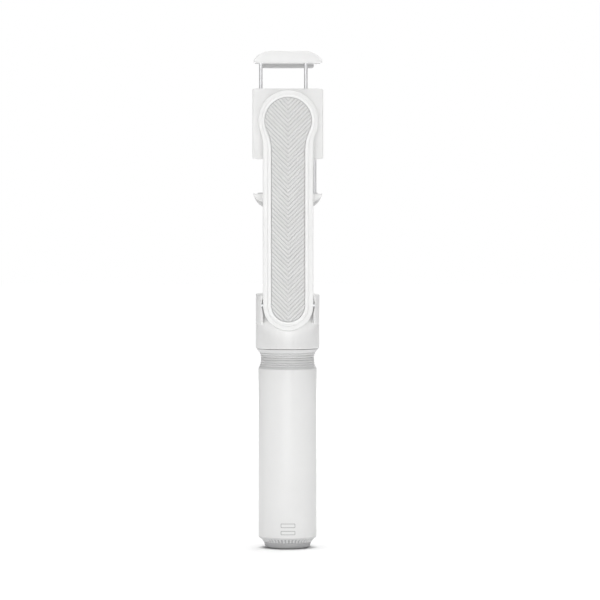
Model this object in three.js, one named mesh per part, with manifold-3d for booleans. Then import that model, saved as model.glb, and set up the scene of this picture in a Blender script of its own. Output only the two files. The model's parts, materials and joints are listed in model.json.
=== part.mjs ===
// A hand-held phone gimbal with a telescoping stick in its handle.
// Millimetres. +Z runs up the handle, +X is to the right when the patterned face of the arm is
// looked at, and that face looks along -Y. The origin is the middle of the base.
import * as THREE from "three";
import { mergeVertices } from "three/addons/utils/BufferGeometryUtils.js";
import Module from "manifold-3d";

const wasm = await Module();
wasm.setup();

// ---------- driving dimensions ----------

// handle
const HANDLE_R = 16.5;
const HANDLE_WALL = 1.6;
const SHELL_LOW = 6.6;
const SHELL_TOP = 102;
const BORE_R = HANDLE_R - HANDLE_WALL;
const SPIGOT_R = BORE_R - 0.4;

// ribbed neck, split in two across its waist
const WAIST_R = 15.1;
const NECK_LOW = SHELL_TOP + 0.2;
const NECK_SPLIT = 107;
const NECK_TOP = 113.2;

// telescoping stick
const STAGES = 4;
const TUBE_STEP = 1.1;
const TUBE_WALL = 0.5;
const FIXED_TUBE_R = 8.7;
const TUBE_FOOT = 12.4;
const TUBE_TOP = 104;
const BUSH_LENGTH = 12;

// fork that turns on the neck
const CUP_R = 18;
const CUP_LOW = 113.5;
const CUP_TOP = 144.5;
const CUP_ROOF = 122.6;
const MOTOR_BORE_R = 15.2;

// arm
const PIN_Y = -21.2;
const PIN_Z = 138.5;
const PIN_R = 1.3;
const ARM_HALF = 14.2;
const ARM_THICK = 5.6;
const ARM_LENGTH = 103.5;
const DISC_R = 17;
const INSERT_HALF = 9.3;
const INSERT_DISC_R = 13.1;
const INSERT_THICK = 1.2;
const MOTOR_DEPTH = 5;
const EAR_GAP = 0.4;

// phone holder
const HOLDER_SIDE = 39.9;
const HOLDER_DROP = 1.5;
const HOLDER_FRONT = -13.1;
const HOLDER_BACK = -7.5;
const PAD_FACE = -6.9;
const ROD_Y = (HOLDER_FRONT + HOLDER_BACK) / 2;
const ROD_R = 0.95;
const ROD_OUT = 15.2;
const ROD_IN = 10.2;
const SPRING_BORE_R = 2;

// clamp jaws, as heights over the roll axis of the face that meets the phone's edge
const UPPER_GRIP = 32.8;
const LOWER_GRIP = -44;
const JAW_HALF = 19.5;
const JAW_LIP_Y = 2.4;
const JAW_FRONT_Y = 4.6;
const GRIP_PAD = 0.9;

// controls on the +Y side of the handle
const PANEL_HALF = 6.7;
const PANEL_LOW = 45.3;
const PANEL_TOP = 94.7;
const PANEL_R = 16.3;
const PANEL_THICK = 1.8;
const JOYSTICK_Z = 86;
const ZOOM_Z = 71;
const LIGHT_Z = 63.2;
const RECORD_Z = 57.5;
const MODE_Z = 49.8;
const POWER_Z = 36;
const PORT_Z = 23;
const BOARD_Y = 9.3;
const BOARD_THICK = 1;
const BOARD_FACE = BOARD_Y + BOARD_THICK;

// facets round a circle, for large outer shells, inner rings and small pieces
const ROUND = 32;
const RING = 16;
const SMALL = 12;
const GAP = 0.3;

// ---------- materials ----------

const finish = (color, roughness, metalness = 0) =>
  new THREE.MeshStandardMaterial({ color, roughness, metalness });

const WHITE = finish(0xededeb, 0.42);
const GREY = finish(0xb9bab9, 0.6);
const PATTERNED = finish(0xcdcecd, 0.62);
const DARK_GREY = finish(0x8e8f90, 0.5);
const RUBBER = finish(0x6d6e70, 0.85);
const STEEL = finish(0xc8c9ca, 0.25, 1);
const ALUMINIUM = finish(0xbfc1c3, 0.35, 1);
const BRASS = finish(0xb08d57, 0.4, 1);
const COPPER = finish(0x8a5a3a, 0.5, 0.6);
const BOARD_GREEN = finish(0x2f5a43, 0.6);
const POUCH = finish(0x9aa3ab, 0.5, 0.3);
const RECORD_RED = finish(0xb3403a, 0.5);
const LENS = finish(0xf4f6f4, 0.2);

// ---------- solids ----------

// A closed geometry as a solid whose faces point outwards.
function solid(geometry) {
  const bare = geometry.index ? geometry.toNonIndexed() : geometry.clone();
  bare.deleteAttribute("normal");
  bare.deleteAttribute("uv");
  const merged = mergeVertices(bare, 1e-4);
  const corners = new Uint32Array(merged.index.array);
  const build = () =>
    new wasm.Manifold(
      new wasm.Mesh({
        numProp: 3,
        vertProperties: merged.attributes.position.array,
        triVerts: corners,
      }),
    );
  const made = build();
  if (made.volume() > 0) return made;
  for (let i = 0; i < corners.length; i += 3) {
    [corners[i + 1], corners[i + 2]] = [corners[i + 2], corners[i + 1]];
  }
  return build();
}

const span = (a, b) => [Math.min(a, b), Math.max(a, b)];
const cut = (whole, ...tools) => tools.reduce((left, tool) => left.subtract(tool), whole);
const join = (...pieces) => pieces.reduce((all, piece) => all.add(piece));

function geometryOf(body) {
  const mesh = body.getMesh();
  const positions = new Float32Array(mesh.numVert * 3);
  for (let i = 0; i < mesh.numVert; i += 1) {
    const first = i * mesh.numProp;
    positions.set(mesh.vertProperties.subarray(first, first + 3), i * 3);
  }
  const geometry = new THREE.BufferGeometry();
  geometry.setAttribute("position", new THREE.BufferAttribute(positions, 3));
  geometry.setIndex(new THREE.BufferAttribute(new Uint32Array(mesh.triVerts), 1));
  geometry.computeVertexNormals();
  return geometry;
}

// A box between two values on each axis.
function block([x0, x1], [y0, y1], [z0, z1]) {
  const box = new THREE.BoxGeometry(x1 - x0, y1 - y0, z1 - z0);
  return solid(box.translate((x0 + x1) / 2, (y0 + y1) / 2, (z0 + z1) / 2));
}

// A profile of [radius, height] pairs turned about Z.
function turned(profile, sides = RING) {
  const points = profile.map(([r, z]) => new THREE.Vector2(r, z));
  return solid(new THREE.LatheGeometry(points, sides).rotateX(Math.PI / 2));
}

const ring = (inner, outer, low, high, sides = RING) =>
  turned(
    [[inner, low], [outer, low], [outer, high], [inner, high], [inner, low]],
    sides,
  );

const disc = (radius, low, high, sides = RING) =>
  turned([[0, low], [radius, low], [radius, high], [0, high]], sides);

// The same about Y: heights become distances along +Y.
function alongY(profile, sides, x = 0, z = 0) {
  const points = profile.map(([r, y]) => new THREE.Vector2(r, y));
  return solid(new THREE.LatheGeometry(points, sides).translate(x, 0, z));
}

const discY = (radius, low, high, sides, x = 0, z = 0) =>
  alongY([[0, low], [radius, low], [radius, high], [0, high]], sides, x, z);

const ringY = (inner, outer, low, high, sides, x = 0, z = 0) =>
  alongY(
    [[inner, low], [outer, low], [outer, high], [inner, high], [inner, low]],
    sides,
    x,
    z,
  );

// And about an axis along X through (y, z).
function alongX(radius, x0, x1, sides, y, z, inner = 0) {
  const profile =
    inner > 0
      ? [[inner, x0], [radius, x0], [radius, x1], [inner, x1], [inner, x0]]
      : [[0, x0], [radius, x0], [radius, x1], [0, x1]];
  const points = profile.map(([r, x]) => new THREE.Vector2(r, x));
  return solid(
    new THREE.LatheGeometry(points, sides).rotateZ(-Math.PI / 2).translate(0, y, z),
  );
}

// An outline in the XZ plane given thickness from y0 to y1.
function plateXZ(shape, y0, y1, curveSegments = 8) {
  const settings = { depth: y1 - y0, bevelEnabled: false, curveSegments };
  const plate = new THREE.ExtrudeGeometry(shape, settings);
  return solid(plate.rotateX(Math.PI / 2).translate(0, y1, 0));
}

// An outline in the YZ plane given thickness from x0 to x1.
function plateYZ(shape, x0, x1, curveSegments = 6) {
  const settings = { depth: x1 - x0, bevelEnabled: false, curveSegments };
  const plate = new THREE.ExtrudeGeometry(shape, settings);
  const turn = new THREE.Matrix4().makeBasis(
    new THREE.Vector3(0, 1, 0),
    new THREE.Vector3(0, 0, 1),
    new THREE.Vector3(1, 0, 0),
  );
  return solid(plate.applyMatrix4(turn).translate(x0, 0, 0));
}

// ---------- scene graph ----------

function group(parent, x = 0, y = 0, z = 0) {
  const made = new THREE.Group();
  made.position.set(x, y, z);
  parent.add(made);
  return made;
}

function piece(parent, name, body, material) {
  const mesh = new THREE.Mesh(geometryOf(body), material);
  mesh.name = name;
  parent.add(mesh);
}

// ---------- handle ----------

// The waist is a hollow curve that flares to the rims above and below it.
function neckRadius(z) {
  const rim = z < NECK_SPLIT ? 16.4 : 17.6;
  const reach = z < NECK_SPLIT ? NECK_SPLIT - NECK_LOW : NECK_TOP - NECK_SPLIT;
  const power = z < NECK_SPLIT ? 1.7 : 2.4;
  return WAIST_R + (rim - WAIST_R) * (Math.abs(z - NECK_SPLIT) / reach) ** power;
}

function neckProfile(low, high, steps) {
  return Array.from({ length: steps + 1 }, (_, i) => {
    const z = low + ((high - low) * i) / steps;
    return [neckRadius(z), z];
  });
}

function handleShell() {
  const tube = turned(
    [
      [BORE_R, SHELL_LOW],
      [HANDLE_R, SHELL_LOW],
      [HANDLE_R, SHELL_TOP - 0.4],
      [HANDLE_R - 0.4, SHELL_TOP],
      [BORE_R, SHELL_TOP],
      [BORE_R, SHELL_LOW],
    ],
    ROUND,
  );
  const window = block(
    [-PANEL_HALF - GAP, PANEL_HALF + GAP],
    [0, HANDLE_R + 1],
    [PANEL_LOW - GAP, PANEL_TOP + GAP],
  );
  const powerHole = discY(3, 0, HANDLE_R + 1, SMALL, 0, POWER_Z);
  const port = block([-4.8, 4.8], [0, HANDLE_R + 1], [PORT_Z - 2, PORT_Z + 2]);
  return cut(tube, window, powerHole, port);
}

function controlPanel() {
  const skin = ring(PANEL_R - PANEL_THICK, PANEL_R, PANEL_LOW, PANEL_TOP, ROUND);
  const patch = block([-PANEL_HALF, PANEL_HALF], [0, HANDLE_R], [PANEL_LOW, PANEL_TOP]);
  return cut(
    skin.intersect(patch),
    discY(5.4, 0, HANDLE_R, RING, 0, JOYSTICK_Z),
    block([-2.9, 2.9], [0, HANDLE_R], [ZOOM_Z - 6, ZOOM_Z + 6]),
    discY(0.9, 0, HANDLE_R, 8, 0, LIGHT_Z),
    discY(3.4, 0, HANDLE_R, SMALL, 0, RECORD_Z),
    discY(2.7, 0, HANDLE_R, SMALL, 0, MODE_Z),
  );
}

function baseCap() {
  return turned(
    [
      [4.8, 0],
      [11.8, 0],
      [12.6, 0.7],
      [13.2, 2.2],
      [13.5, 3.4],
      [9.2, 3.4],
      [9.2, 8.3],
      [4.8, 8.3],
      [4.8, 0],
    ],
    ROUND,
  );
}

function baseRing() {
  return turned(
    [
      [9.5, 3.7],
      [13.8, 3.7],
      [14.4, 4.5],
      [15.6, 5.4],
      [16.35, 6.1],
      [16.35, 6.35],
      [SPIGOT_R, 6.35],
      [SPIGOT_R, 8.6],
      [9.5, 8.6],
      [9.5, 3.7],
    ],
    ROUND,
  );
}

function lowerCollar() {
  const bore = FIXED_TUBE_R + GAP;
  return turned(
    [
      [bore, SHELL_TOP - 3],
      [SPIGOT_R, SHELL_TOP - 3],
      [SPIGOT_R, NECK_LOW],
      ...neckProfile(NECK_LOW, NECK_SPLIT - 0.1, 4),
      [bore, NECK_SPLIT - 0.1],
      [bore, SHELL_TOP - 3],
    ],
    ROUND,
  );
}

// A flat cell that fills the space between the stick and the shell.
function battery() {
  const cell = block([-9.5, 9.5], [-BORE_R, -FIXED_TUBE_R - 0.6], [18, 98]);
  return cell.intersect(disc(SPIGOT_R - 0.2, 18, 98, ROUND));
}

function chargingPort() {
  const shell = block([-4.4, 4.4], [BOARD_FACE + 0.2, 15.8], [PORT_Z - 1.6, PORT_Z + 1.6]);
  const mouth = block([-4, 4], [12, 17], [PORT_Z - 1.25, PORT_Z + 1.25]);
  const tongue = block([-3.2, 3.2], [11.5, 15.2], [PORT_Z - 0.35, PORT_Z + 0.35]);
  return join(cut(shell, mouth), tongue);
}

// One strip of snap domes serves the four keys: a thin carrier with a raised dome under each.
function domeStrip() {
  const foot = BOARD_FACE + 0.1;
  const carrier = block([-2.6, 2.6], [foot, foot + 0.4], [POWER_Z - 3, ZOOM_Z + 5.5]);
  const domes = [POWER_Z, MODE_Z, RECORD_Z, ZOOM_Z - 3.6, ZOOM_Z + 3.6];
  return join(carrier, ...domes.map((z) => discY(1.6, foot + 0.2, foot + 1.1, 12, 0, z)));
}

function joystickSensor() {
  const foot = BOARD_FACE + 0.1;
  return block([-3.4, 3.4], [foot, foot + 0.4], [JOYSTICK_Z - 3.4, JOYSTICK_Z + 3.4]);
}

const root = new THREE.Group();
const handle = group(root);
piece(handle, "handle_shell", handleShell(), WHITE);
piece(handle, "control_panel", controlPanel(), GREY);
piece(handle, "base_cap", baseCap(), DARK_GREY);
piece(handle, "base_ring", baseRing(), GREY);
piece(handle, "tripod_insert", ring(3.05, 4.5, 0.4, 8.2), BRASS);
piece(handle, "lower_collar", lowerCollar(), GREY);
piece(handle, "battery", battery(), POUCH);
piece(handle, "main_board", block([-6.5, 6.5], [BOARD_Y, BOARD_FACE], [17.6, 97]), BOARD_GREEN);
piece(handle, "charging_port", chargingPort(), STEEL);
piece(handle, "joystick_sensor", joystickSensor(), DARK_GREY);
piece(handle, "dome_strip", domeStrip(), DARK_GREY);
piece(handle, "status_light", discY(0.7, 13, 16.2, 8, 0, LIGHT_Z), LENS);

// ---------- controls ----------

// A round button with a flange that stops it behind the panel.
function roundButton(radius, top) {
  return (z) =>
    alongY(
      [
        [0, 12.6],
        [radius + 0.7, 12.6],
        [radius + 0.7, 13.3],
        [radius, 13.3],
        [radius, top - 0.3],
        [radius - 0.4, top],
        [0, top],
      ],
      SMALL,
      0,
      z,
    );
}

// The rocker turns about X, the line through its own middle.
function zoomRocker() {
  const outline = new THREE.Shape();
  outline.moveTo(13, -5.2);
  outline.lineTo(16.9, -5.2);
  outline.quadraticCurveTo(17.7, -2.6, 16.9, 0);
  outline.quadraticCurveTo(17.7, 2.6, 16.9, 5.2);
  outline.lineTo(13, 5.2);
  outline.closePath();
  return plateYZ(outline, -2.5, 2.5, 4);
}

function joystickCap() {
  return alongY(
    [[0, 11.4], [1.2, 11.4], [1.2, 15.9], [3.7, 15.9], [4, 16.6], [3.2, 17.7], [0, 17.3]],
    SMALL,
  );
}

function joystickCradle() {
  const ringBlock = block([-3, 3], [11.7, 12.9], [-3, 3]);
  return cut(ringBlock, block([-1.8, 1.8], [11, 14], [-1.8, 1.8]));
}

const joystick = group(handle, 0, 0, JOYSTICK_Z);
piece(joystick, "joystick_cradle", joystickCradle(), DARK_GREY);
piece(joystick, "joystick_cap", joystickCap(), RUBBER);
const rocker = group(handle, 0, 0, ZOOM_Z);
piece(rocker, "zoom_rocker", zoomRocker(), GREY);
piece(handle, "record_button", roundButton(3.1, 17.1)(RECORD_Z), RECORD_RED);
piece(handle, "mode_button", roundButton(2.4, 17.1)(MODE_Z), GREY);
piece(handle, "power_button", roundButton(2.7, 17.1)(POWER_Z), GREY);

// ---------- telescoping stick ----------

const tubeRadius = (stage) => FIXED_TUBE_R - TUBE_STEP * stage;
const stageTop = (stage) => TUBE_TOP + 0.6 * stage;
const stageFoot = (stage) => TUBE_FOOT + 1 + 0.6 * stage;

// Each tube has its mouth rolled in, and the bush of the next tube can't pass it.
function stickTube(stage, foot, top) {
  const outer = tubeRadius(stage);
  const mouth = tubeRadius(stage + 1) + 0.22;
  return turned([
    [outer - TUBE_WALL, foot],
    [outer, foot],
    [outer, top - 0.5],
    [outer - 0.35, top],
    [mouth, top],
    [mouth, top - 1.5],
    [outer - TUBE_WALL, top - 1.5],
    [outer - TUBE_WALL, foot],
  ]);
}

function stickBush(stage) {
  const inner = tubeRadius(stage) + 0.12;
  const outer = tubeRadius(stage - 1) - TUBE_WALL - 0.12;
  const foot = stageFoot(stage);
  return ring(inner, outer, foot, foot + BUSH_LENGTH);
}

function tubeSocket() {
  const inner = FIXED_TUBE_R + 0.1;
  return turned([
    [0, 9],
    [SPIGOT_R, 9],
    [SPIGOT_R, 12],
    [inner + 1.2, 12],
    [inner + 1.2, 17],
    [inner, 17],
    [inner, TUBE_FOOT - 0.2],
    [0, TUBE_FOOT - 0.2],
  ]);
}

piece(handle, "tube_socket", tubeSocket(), DARK_GREY);
piece(handle, "fixed_tube", stickTube(0, TUBE_FOOT, TUBE_TOP), ALUMINIUM);
let stick = handle;
for (let stage = 1; stage <= STAGES; stage += 1) {
  stick = group(stick);
  const top = stage < STAGES ? stageTop(stage) : NECK_TOP - 2.6;
  piece(stick, `stick_tube_${stage}`, stickTube(stage, stageFoot(stage), top), ALUMINIUM);
  piece(stick, `stick_bush_${stage}`, stickBush(stage), DARK_GREY);
}

// ---------- head base, on the last tube ----------

function upperCollar() {
  const bore = tubeRadius(STAGES) + 0.1;
  return turned(
    [
      [0, NECK_TOP - 2.4],
      [bore, NECK_TOP - 2.4],
      [bore, NECK_SPLIT + 0.1],
      ...neckProfile(NECK_SPLIT + 0.1, NECK_TOP, 5),
      [0, NECK_TOP],
    ],
    ROUND,
  );
}

piece(stick, "upper_collar", upperCollar(), GREY);
piece(stick, "pan_shaft", disc(2.4, NECK_TOP + 0.1, CUP_ROOF - 0.4, SMALL), STEEL);
piece(stick, "pan_stator", ring(2.7, 10.5, NECK_TOP + 1, NECK_TOP + 6), COPPER);

// ---------- fork ----------

// One cheek of the fork, as an outline in the YZ plane. It carries the hinge pin in its nose.
function cheek() {
  const nose = 3.2;
  const outline = new THREE.Shape();
  outline.moveTo(0, PIN_Z - 10.5);
  outline.lineTo(-10.4, PIN_Z - 10.5);
  outline.quadraticCurveTo(-15, PIN_Z - 7.5, -19.5, PIN_Z - 5.3);
  outline.quadraticCurveTo(PIN_Y - nose, PIN_Z - 3.5, PIN_Y - nose, PIN_Z);
  outline.lineTo(PIN_Y - nose, CUP_TOP - 4);
  outline.absarc(PIN_Y, CUP_TOP - 4, nose, Math.PI, Math.PI / 2, true);
  outline.lineTo(0, CUP_TOP - 0.8);
  outline.closePath();
  return outline;
}

// The round end of the arm turns inside a ball-shaped pocket in the front of the cup.
function armPocket() {
  const radius = ARM_HALF + 0.6;
  const ball = new THREE.SphereGeometry(radius, RING * 1.5, RING);
  return solid(ball.rotateZ(Math.PI / 2).translate(0, PIN_Y, PIN_Z));
}

function forkCup() {
  const drum = turned(
    [
      [0, CUP_ROOF],
      [MOTOR_BORE_R, CUP_ROOF],
      [MOTOR_BORE_R, CUP_LOW],
      [CUP_R - 0.2, CUP_LOW],
      [CUP_R, CUP_LOW + 0.4],
      [CUP_R, CUP_TOP - 0.9],
      [CUP_R - 0.8, CUP_TOP],
      [0, CUP_TOP],
    ],
    ROUND,
  );
  const inner = ARM_HALF + EAR_GAP;
  const left = plateYZ(cheek(), -CUP_R, -inner);
  const right = plateYZ(cheek(), inner, CUP_R);
  const tiltRoom = block([-inner, inner], [-CUP_R - 8, -15.4], [PIN_Z, CUP_TOP + 1]);
  const pinBore = alongX(PIN_R + 0.15, -17.2, 17.2, SMALL, PIN_Y, PIN_Z);
  const motorBore = disc(MOTOR_BORE_R, CUP_LOW - 1, CUP_ROOF, ROUND);
  return cut(join(drum, left, right), armPocket(), tiltRoom, pinBore, motorBore);
}

const fork = group(stick);
piece(fork, "fork_cup", forkCup(), WHITE);
piece(fork, "pan_magnet_ring", ring(11.2, MOTOR_BORE_R - 0.3, CUP_LOW + 1, CUP_LOW + 7), STEEL);
piece(fork, "pan_bearing", ring(2.6, 5, CUP_ROOF - 2.6, CUP_ROOF - 0.1), STEEL);
piece(fork, "hinge_pin", alongX(PIN_R, -17, 17, SMALL, PIN_Y, PIN_Z), STEEL);

// ---------- arm ----------

// A strip with a round lower end that widens into a disc, in hollow curves on both sides.
// The hinge is at (0, 0) and the centre of the disc at (0, ARM_LENGTH).
function armOutline(half, discRadius, blend) {
  const reach = half + blend;
  const drop = Math.sqrt((discRadius + blend) ** 2 - reach ** 2);
  const turn = Math.atan2(drop, reach);
  const low = ARM_LENGTH - drop;
  const outline = new THREE.Shape();
  outline.absarc(0, 0, half, Math.PI, 0, false);
  outline.absarc(reach, low, blend, Math.PI, Math.PI - turn, true);
  outline.absarc(0, ARM_LENGTH, discRadius, -turn, Math.PI + turn, false);
  outline.absarc(-reach, low, blend, turn, 0, true);
  outline.closePath();
  return outline;
}

const HALF_THICK = ARM_THICK / 2;
const BLEND_R = 22;
const POCKET_FLOOR = 0.6;
const MOTOR_FLOOR = POCKET_FLOOR + 2.6;
const MOTOR_BACK = HALF_THICK + MOTOR_DEPTH;

function armFrame() {
  const plate = plateXZ(armOutline(ARM_HALF, DISC_R, BLEND_R), -HALF_THICK, HALF_THICK);
  const housing = discY(DISC_R - 0.3, HALF_THICK - 1, MOTOR_BACK, ROUND, 0, ARM_LENGTH);
  const pocketOutline = armOutline(INSERT_HALF + 0.25, INSERT_DISC_R + 0.25, BLEND_R);
  const pocket = plateXZ(pocketOutline, -HALF_THICK - 1, POCKET_FLOOR);
  const motor = discY(DISC_R - 2.4, MOTOR_FLOOR, MOTOR_BACK + 1, ROUND, 0, ARM_LENGTH);
  const shaftHole = discY(4.4, 0, MOTOR_FLOOR + 1, RING, 0, ARM_LENGTH);
  const bushBore = alongX(2.15, -ARM_HALF - 1, ARM_HALF + 1, SMALL, 0, 0);
  return cut(join(plate, housing), pocket, motor, shaftHole, bushBore);
}

function armInsert() {
  const outline = armOutline(INSERT_HALF, INSERT_DISC_R, BLEND_R);
  return plateXZ(outline, -HALF_THICK, -HALF_THICK + INSERT_THICK);
}

const arm = group(fork, 0, PIN_Y, PIN_Z);
piece(arm, "arm_frame", armFrame(), WHITE);
piece(arm, "arm_insert", armInsert(), PATTERNED);
piece(arm, "hinge_bush_left", alongX(2, -13.8, -9.8, SMALL, 0, 0, PIN_R + 0.15), DARK_GREY);
piece(arm, "hinge_bush_right", alongX(2, 9.8, 13.8, SMALL, 0, 0, PIN_R + 0.15), DARK_GREY);
piece(arm, "ribbon_cable", block([-3, 3], [-0.9, -0.6], [8, ARM_LENGTH - 6]), COPPER);
piece(arm, "roll_bearing", ringY(2.2, 4.1, 0.8, 3, RING, 0, ARM_LENGTH), STEEL);
piece(arm, "roll_stator", ringY(2.5, 10, 3.4, 6.6, RING, 0, ARM_LENGTH), COPPER);

// ---------- phone holder, on the roll axis ----------

const HOLDER_TOP = HOLDER_SIDE / 2 - HOLDER_DROP;
const HOLDER_LOW = -HOLDER_SIDE / 2 - HOLDER_DROP;
const GUIDE = 2.45;

// The rods of one jaw, as signed distances from the middle of the holder.
const rodPlaces = (side) => [-ROD_OUT * side, ROD_IN * side];

function rodChannels(side) {
  const mouth = side > 0 ? HOLDER_TOP : HOLDER_LOW;
  const shoulder = mouth - side * GUIDE;
  const end = -side * 18;
  return rodPlaces(side).flatMap((x) => {
    const guide = disc(ROD_R + 0.25, ...span(mouth + side, shoulder - side), SMALL);
    const bore = disc(SPRING_BORE_R, ...span(shoulder, end), SMALL);
    return [guide.translate([x, ROD_Y, 0]), bore.translate([x, ROD_Y, 0])];
  });
}

function holderFrame() {
  const half = HOLDER_SIDE / 2;
  const plate = block([-half, half], [HOLDER_FRONT, HOLDER_BACK], [HOLDER_LOW, HOLDER_TOP]);
  const screwSeat = discY(2.6, HOLDER_BACK - 1.6, 0, SMALL);
  const screwHole = discY(1.2, HOLDER_FRONT - 1, 0, SMALL);
  return cut(plate, ...rodChannels(1), ...rodChannels(-1), screwSeat, screwHole);
}

function holderPad() {
  const side = HOLDER_SIDE / 2 - 1.8;
  const height = [HOLDER_LOW + 1.8, HOLDER_TOP - 1.8];
  return block([-side, side], [HOLDER_BACK + 0.05, PAD_FACE], height);
}

function shaftScrew() {
  const seat = HOLDER_BACK - 1.5;
  const tip = HOLDER_FRONT + 0.1;
  const head = HOLDER_BACK - 0.2;
  return alongY([[0, tip], [1, tip], [1, seat], [2.3, seat], [2.3, head], [0, head]], SMALL);
}

const holder = group(arm, 0, -PIN_Y, ARM_LENGTH);
const toHolder = (y) => y + PIN_Y;
piece(holder, "holder_frame", holderFrame(), WHITE);
piece(holder, "holder_pad", holderPad(), RUBBER);
piece(holder, "shaft_screw", shaftScrew(), STEEL);
piece(holder, "roll_shaft", discY(2, toHolder(1), HOLDER_FRONT - 0.1, SMALL), STEEL);
piece(holder, "roll_magnet_ring", ringY(10.7, 14.2, toHolder(3.6), toHolder(7.2), RING), STEEL);

// ---------- clamp ----------

// The jaw as seen along Y: a loaf with wide shoulders, standing on the phone's edge.
function jawOutline(side, skirt, crown) {
  const outline = new THREE.Shape();
  const grip = side > 0 ? UPPER_GRIP : LOWER_GRIP;
  const z = (rise) => grip + side * rise;
  outline.moveTo(-JAW_HALF, z(-skirt));
  outline.lineTo(-JAW_HALF + 0.45, z(1.2 - skirt));
  outline.quadraticCurveTo(-17.5, z(crown), -11.5, z(crown));
  outline.lineTo(11.5, z(crown));
  outline.quadraticCurveTo(17.5, z(crown), JAW_HALF - 0.45, z(1.2 - skirt));
  outline.lineTo(JAW_HALF, z(-skirt));
  outline.closePath();
  return outline;
}

function jaw(side, skirt, crown) {
  const grip = side > 0 ? UPPER_GRIP : LOWER_GRIP;
  const z = (rise) => grip + side * rise;
  const loaf = plateXZ(jawOutline(side, skirt, crown), HOLDER_FRONT + 0.3, JAW_FRONT_Y, 6);
  const lip = block([-15, 15], [JAW_LIP_Y, JAW_FRONT_Y], span(z(1), z(-2.4)));
  const slot = block([-21, 21], [PAD_FACE, JAW_LIP_Y], span(z(-skirt - 1), z(GRIP_PAD + 0.1)));
  const sockets = rodPlaces(side).map((x) => {
    const [low, high] = span(z(-skirt - 1), z(5.4));
    return disc(ROD_R + 0.15, low, high, SMALL).translate([x, ROD_Y, 0]);
  });
  return cut(join(loaf, lip), slot, ...sockets);
}

function gripPad(side) {
  const grip = side > 0 ? UPPER_GRIP : LOWER_GRIP;
  return block([-17, 17], [PAD_FACE + 0.5, JAW_LIP_Y - 0.4], span(grip, grip + side * GRIP_PAD));
}

const ROD_HEAD_AT = { 1: -6, "-1": -3 };
const ROD_HEAD = 1;

// A rod with a flanged inner end that the spring bears on.
function rod(side, x) {
  const grip = side > 0 ? UPPER_GRIP : LOWER_GRIP;
  const tip = grip + side * 5.2;
  const end = ROD_HEAD_AT[side];
  const neck = end + side * ROD_HEAD;
  const profile = [[0, end], [1.65, end], [1.65, neck], [ROD_R, neck], [ROD_R, tip], [0, tip]];
  return turned(profile, SMALL).translate([x, ROD_Y, 0]);
}

class Helix extends THREE.Curve {
  constructor(radius, low, high, turns) {
    super();
    Object.assign(this, { radius, low, high, turns });
  }
  getPoint(t, target = new THREE.Vector3()) {
    const angle = 2 * Math.PI * this.turns * t;
    const z = this.low + (this.high - this.low) * t;
    return target.set(this.radius * Math.cos(angle), this.radius * Math.sin(angle), z);
  }
}

const SPRING_TURNS = 5;
const WIRE = 0.36;

function rodSpring(side, x) {
  const shoulder = (side > 0 ? HOLDER_TOP : HOLDER_LOW) - side * GUIDE;
  const neck = ROD_HEAD_AT[side] + side * ROD_HEAD;
  const [low, high] = span(shoulder, neck);
  const path = new Helix(1.45, low + 0.4, high - 0.4, SPRING_TURNS);
  const wire = new THREE.Shape([
    new THREE.Vector2(-WIRE / 2, -WIRE / 2),
    new THREE.Vector2(WIRE / 2, -WIRE / 2),
    new THREE.Vector2(WIRE / 2, WIRE / 2),
    new THREE.Vector2(-WIRE / 2, WIRE / 2),
  ]);
  const settings = { steps: SPRING_TURNS * 6, bevelEnabled: false, extrudePath: path };
  return solid(new THREE.ExtrudeGeometry(wire, settings)).translate([x, ROD_Y, 0]);
}

function clampJaw(name, side, skirt, crown) {
  const carriage = group(holder);
  piece(carriage, `${name}_jaw`, jaw(side, skirt, crown), WHITE);
  piece(carriage, `${name}_jaw_pad`, gripPad(side), RUBBER);
  rodPlaces(side).forEach((x) => {
    const where = x < 0 ? "left" : "right";
    piece(carriage, `${name}_rod_${where}`, rod(side, x), STEEL);
    piece(carriage, `${name}_spring_${where}`, rodSpring(side, x), STEEL);
  });
}

clampJaw("upper", 1, 0.4, 7);
clampJaw("lower", -1, 3.8, 5.8);

export default root;
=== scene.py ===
"""Looks of a hand-held phone gimbal with a telescoping stick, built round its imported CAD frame.

Shapes are worked out in millimetres in the frame's own axes and turned into metres when a mesh is
made. +Z runs up the handle and the arm's patterned face looks along -Y.
"""
import json
import math

import bmesh
import bpy
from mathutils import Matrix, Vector


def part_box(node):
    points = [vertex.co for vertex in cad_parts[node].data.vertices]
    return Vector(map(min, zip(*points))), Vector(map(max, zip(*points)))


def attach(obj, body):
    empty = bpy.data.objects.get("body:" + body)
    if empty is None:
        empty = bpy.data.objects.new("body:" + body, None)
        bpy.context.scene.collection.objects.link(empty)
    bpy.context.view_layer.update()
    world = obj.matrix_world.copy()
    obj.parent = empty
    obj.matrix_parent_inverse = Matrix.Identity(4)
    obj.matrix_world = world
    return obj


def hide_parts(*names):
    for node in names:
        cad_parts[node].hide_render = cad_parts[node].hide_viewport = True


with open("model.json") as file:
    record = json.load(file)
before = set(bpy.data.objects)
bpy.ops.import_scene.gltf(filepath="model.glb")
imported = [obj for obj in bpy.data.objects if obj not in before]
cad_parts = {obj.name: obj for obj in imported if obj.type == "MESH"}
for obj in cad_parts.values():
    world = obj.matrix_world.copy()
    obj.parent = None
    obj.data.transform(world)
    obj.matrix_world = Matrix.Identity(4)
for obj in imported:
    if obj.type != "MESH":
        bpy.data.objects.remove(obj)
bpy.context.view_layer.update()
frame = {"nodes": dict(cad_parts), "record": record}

MM = 0.001
TAU = 2 * math.pi


def mm_box(node):
    low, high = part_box(node)
    return low / MM, high / MM


def node_middle(node):
    low, high = mm_box(node)
    return (low + high) / 2


# ---------------- sizes from the frame

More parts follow.
